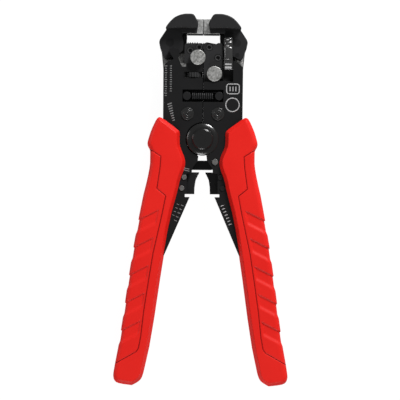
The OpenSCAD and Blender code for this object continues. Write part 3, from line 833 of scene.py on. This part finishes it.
def ink_finish(name, dark, light):
    """Matt off-white ink, thin enough in places to let the coat show."""
    finish, tree, place = new_finish(name)
    thin = noise(tree, place, 1800.0, 3.0, 0.6)
    colour = between(tree, thin, (dark,) * 3, (light,) * 3)
    changing = {"Base Color": colour, "Roughness": 0.6 + 0.1 * thin}
    shade(tree, {"Specular IOR Level": 0.2}, changing)
    return finish


def bar(middle, length, width, lean, low, high):
    """An upright slab: a rectangle about its middle, turned by lean degrees."""
    angle = math.radians(lean)
    way = np.array([math.cos(angle), math.sin(angle)])
    side = np.array([-way[1], way[0]])
    corners = [(-1, -1), (1, -1), (1, 1), (-1, 1)]
    outline = [middle + 0.5 * a * length * way + 0.5 * b * width * side for a, b in corners]
    return rounded_slab(outline, 0.3 * width, low, high, 0.02, 1)


def band(path, width, low, high):
    """A closed line of this width along a closed path, as an upright slab with a hole."""
    outer, inner = inset(path, -0.5 * width), inset(path, 0.5 * width)
    rings = [(outer, low), (outer, high), (inner, high), (inner, low), (outer, low)]
    points = np.vstack([np.column_stack([ring, np.full(len(ring), z)]) for ring, z in rings])
    return points, closed_grid(len(rings), len(path)).tolist()


MARK_LOW, MARK_HIGH = 16.58, 16.63


def bar_row(count, first, step, length, width, lean, taper=0.0):
    """A row of bars on the plate, each one step on from the last and shorter by taper."""
    return [
        bar((first[0] + step[0] * i, first[1] + step[1] * i), length - taper * i, width, lean,
            MARK_LOW, MARK_HIGH)
        for i in range(count)
    ]


ink = ink_finish("mark_ink", 0.3, 0.6)
worn_ink = ink_finish("worn_ink", 0.1, 0.3)
ticks = [
    bar((-20.6, 40.2 - 1.25 * i), 1.0 + 0.5 * (i % 3 == 0), 0.5, 0, MARK_LOW, MARK_HIGH)
    for i in range(14)
]
ticks += bar_row(12, (-17.8, 40.2), (0.0, -1.25), 1.1, 0.5, 0)
ticks += bar_row(8, (-18.4, 19.4), (0.33, -1.3), 2.6, 0.6, 20, 0.18)
ticks += bar_row(2, (-8.7, -16.2), (0.0, -1.1), 3.2, 0.5, -14)
ticks += bar_row(5, (-10.9, -36.6), (-0.9, -2.1), 1.6, 0.45, 157)
ticks += bar_row(4, (-13.3, -36.0), (-0.8, -2.0), 1.3, 0.4, 157)
left_marks = solid_piece("left_marks", joined(ticks), worn_ink)
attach(left_marks, "left_half")

turn = np.linspace(0, 2 * np.pi, 64, endpoint=False)
RING = np.column_stack([16.3 + 3.7 * np.cos(turn), 19.1 + 3.7 * np.sin(turn)])
FRAME = eased([(13.0, 30.6), (13.0, 25.2), (20.0, 25.2), (20.0, 30.6)], 1.6)
figures = [band(RING, 0.55, MARK_LOW, MARK_HIGH), band(FRAME, 0.5, MARK_LOW, MARK_HIGH)]
figures += bar_row(3, (14.9, 27.9), (1.6, 0.0), 2.6, 0.5, 90)
figures += bar_row(7, (11.1, -36.6), (0.75, -1.7), 1.7, 0.45, 23)
right_marks = solid_piece("right_marks", joined(figures), ink)
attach(right_marks, "right_half")

bars = [
    bar((13.8, 41.5), 3.6, 0.8, 0, 16.36, 16.42),
    bar((13.8, 39.7), 3.6, 1.2, 0, 16.36, 16.42),
]
slide_marks = solid_piece("slide_marks", joined(bars), ink)
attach(slide_marks, "selector")


# ---------------------------------------------------------------- return spring
# Close-wound extension spring of blackened wire, hooked round the two spring pins.

SPRING_Y = 23.9
SPRING_Z = 13.4
PIN_X = 8.9
WIRE_R = 0.4
COIL_R = 2.2
COIL_HALF = 5.9
COILS = 11
STEPS = 28
SIDES = 12
LOOP_R = 2.05


def tube(path, radius):
    """A circle of SIDES points carried along the path, turned as little as possible:
    each ring's first direction is the last one's, made square to the path again."""
    ahead = np.gradient(path, axis=0)
    ahead /= np.linalg.norm(ahead, axis=1)[:, None]
    across = np.zeros_like(path)
    last = np.array([0.0, 0.0, 1.0])
    for index, direction in enumerate(ahead):
        last = last - direction * np.dot(last, direction)
        last /= np.linalg.norm(last)
        across[index] = last
    other = np.cross(ahead, across)
    turn = np.linspace(0, 2 * np.pi, SIDES, endpoint=False)
    cosine, sine = np.cos(turn)[None, :, None], np.sin(turn)[None, :, None]
    ring = cosine * across[:, None] + sine * other[:, None]
    points = (path[:, None] + radius * ring).reshape(-1, 3)
    faces = closed_grid(len(path), SIDES).tolist()
    faces.append(list(range(SIDES)))
    faces.append(list(range(len(points) - SIDES, len(points))))
    return points, faces


turn = np.linspace(0, 2 * np.pi * COILS, COILS * STEPS + 1)
coil = np.column_stack([
    np.linspace(-COIL_HALF, COIL_HALF, len(turn)),
    SPRING_Y + COIL_R * np.cos(turn),
    SPRING_Z + COIL_R * np.sin(turn)
])
hook_turn = np.radians(np.linspace(110, -150, 30))
hook = np.column_stack([
    PIN_X + LOOP_R * np.cos(hook_turn),
    SPRING_Y + LOOP_R * np.sin(hook_turn),
    np.full(len(hook_turn), SPRING_Z)
])
left_hook = hook[::-1] * np.array([-1, 1, 1])
spring_wire = coated_steel("spring_wire", (0.018, 0.018, 0.019), (0.03, 0.03, 0.031), 0.24)
spring = mesh_piece("coiled_spring", *tube(np.vstack([left_hook, coil, hook]), WIRE_R), spring_wire)
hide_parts("return_spring")
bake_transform(spring)


# ---------------------------------------------------------------- bench and light
# A pale bench under large soft lights, and the view from straight above.


def pale_bench():
    """Evenly lit off-white board: a glow with a faint mottle over a matt surface."""
    finish, tree, place = new_finish("pale_bench")
    cloud = noise(tree, place, 6.0, 2.0)
    colour = between(tree, cloud, (0.09, 0.09, 0.09), (0.11, 0.11, 0.11))
    glow = between(tree, cloud, (0.95, 0.95, 0.95), (0.98, 0.98, 0.98))
    constants = {"Roughness": 0.9, "Specular IOR Level": 0.0, "Emission Strength": 1.0}
    shade(tree, constants, {"Base Color": colour, "Emission Color": glow})
    return finish


BENCH_HALF = 3
BENCH_TOP = -0.0002
bench_mesh = bpy.data.meshes.new("bench")
bench_mesh.from_pydata(
    [(x * BENCH_HALF, y * BENCH_HALF, BENCH_TOP) for x, y in ((-1, -1), (1, -1), (1, 1), (-1, 1))],
    [], [(0, 1, 2, 3)]
)
bench_mesh.materials.append(pale_bench())
bench = bpy.data.objects.new("bench", bench_mesh)
bpy.context.scene.collection.objects.link(bench)
# Kept out of reflections, so that the bevels and edges keep their own colour
bench.visible_glossy = False

world = bpy.data.worlds.new("studio")
world.use_nodes = True
sky = world.node_tree.nodes["Background"].inputs
sky["Color"].default_value = (1, 1, 1, 1)
sky["Strength"].default_value = 0.14
bpy.context.scene.world = world
bpy.context.scene.view_settings.view_transform = "Standard"


def soft_light(name, place, aim, width, power):
    """A square area light at place, turned towards aim."""
    lamp = bpy.data.lights.new(name, "AREA")
    lamp.shape = "SQUARE"
    lamp.size = width
    lamp.energy = power
    light = bpy.data.objects.new(name, lamp)
    bpy.context.scene.collection.objects.link(light)
    way = np.array(aim) - np.array(place)
    light.location = place
    light.rotation_euler = Vector(way).to_track_quat("-Z", "Y").to_euler()
    return light


soft_light("key", (0.5, 1.0, 0.65), (0, 0, 0), 0.4, 18.5)
soft_light("front_fill", (-0.1, -1.0, 0.7), (0, -0.03, 0), 0.45, 5.5)
soft_light("left_fill", (-1.0, 0.3, 0.6), (0, -0.03, 0), 0.4, 1.6)

CAMERA_HEIGHT = 1.4
SENSOR_WIDTH = 36.0
# The view is this wide at the height of the front plates
VIEW_WIDTH = 0.2206
VIEW_HEIGHT = 0.016
ROLL = math.radians(0.54)
camera_data = bpy.data.cameras.new("camera")
camera_data.sensor_width = SENSOR_WIDTH
camera_data.lens = SENSOR_WIDTH * (CAMERA_HEIGHT - VIEW_HEIGHT) / VIEW_WIDTH
camera = bpy.data.objects.new("camera", camera_data)
camera.location = (-0.0011, -0.0335, CAMERA_HEIGHT)
camera.rotation_euler = (0, 0, ROLL)
bpy.context.scene.collection.objects.link(camera)
bpy.context.scene.camera = camera
